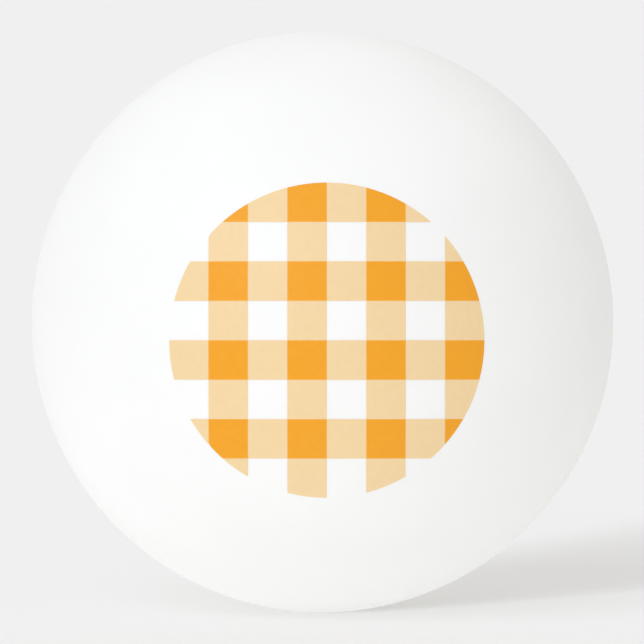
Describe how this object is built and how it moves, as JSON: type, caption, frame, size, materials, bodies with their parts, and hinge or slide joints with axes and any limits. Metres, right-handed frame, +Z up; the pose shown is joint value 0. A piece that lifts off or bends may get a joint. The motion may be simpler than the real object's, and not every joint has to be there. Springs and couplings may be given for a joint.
{
  "type": "table tennis ball",
  "caption": "Hollow white plastic ball of two cemented half shells, with a round orange check print on one pole.",
  "frame": {"origin": "centre of the ball", "axes": "+Z up; Y is the axis that the two half shells share, with the print on the -Y pole and the seam in the plane Y = 0; +X is to the right of somebody who looks at the print"},
  "size_m": [0.04, 0.04, 0.04],
  "materials": {
    "ball_plastic": "matt white, finely tumbled",
    "seam_cement": "set solvent cement, ground back level with the shells",
    "ink_orange": "pad-printed ink film, orange",
    "ink_pale": "pad-printed ink film, pale orange"
  },
  "bodies": {
    "root": {"front_half_shell": "ball_plastic", "rear_half_shell": "ball_plastic", "seam_cement": "seam_cement", "print_orange_ink": "ink_orange", "print_pale_ink": "ink_pale"}
  },
  "joints": []
}
